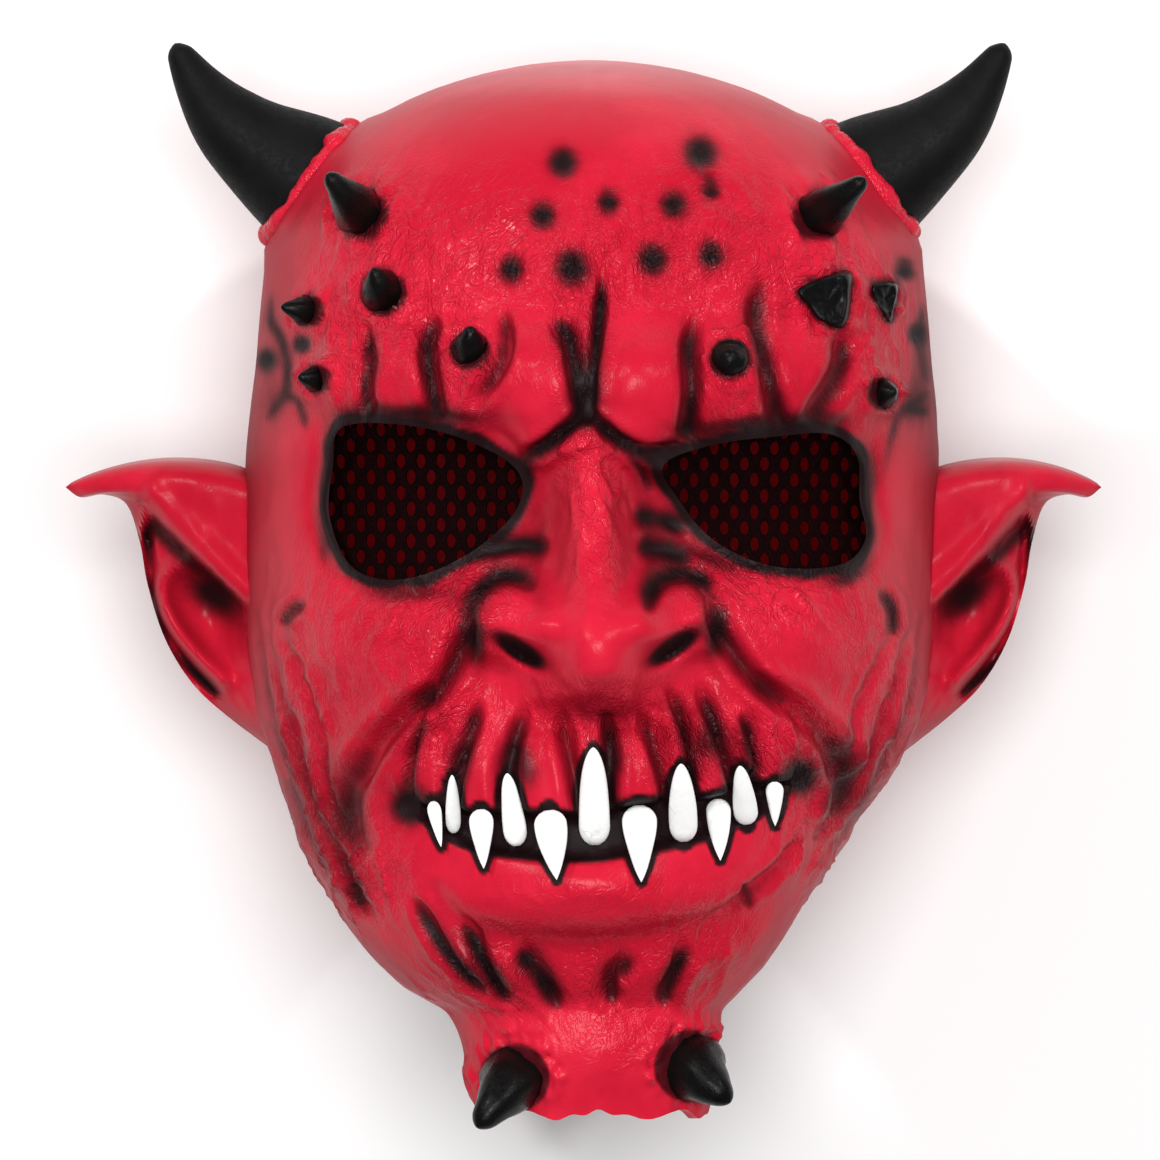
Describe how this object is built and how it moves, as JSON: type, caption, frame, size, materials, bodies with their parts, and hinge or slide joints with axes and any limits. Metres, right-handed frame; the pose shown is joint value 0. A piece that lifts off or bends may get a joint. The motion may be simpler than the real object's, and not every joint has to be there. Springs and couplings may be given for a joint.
{
  "type": "latex devil mask",
  "caption": "Overhead costume mask in moulded latex: red devil face with horns, spikes, fangs, pointed ears and dark net behind the eye openings.",
  "frame": {"origin": "middle of the flattened spot at the back of the head, on the mask's middle plane, on the surface it lies on", "axes": "+X to the right of someone looking at the face, +Y from the chin to the crown, +Z from the back of the head out through the face; the mask lies face up"},
  "size_m": [0.2706, 0.2825, 0.2333],
  "materials": {
    "red_latex": "satin latex, airbrushed black in the folds",
    "black_horn": "dull satin black",
    "eye_net": "dark open knit"
  },
  "bodies": {
    "root": {"latex_head": "red_latex", "horn_left": "black_horn", "horn_right": "black_horn", "eye_net_left": "eye_net", "eye_net_right": "eye_net"}
  },
  "joints": []
}
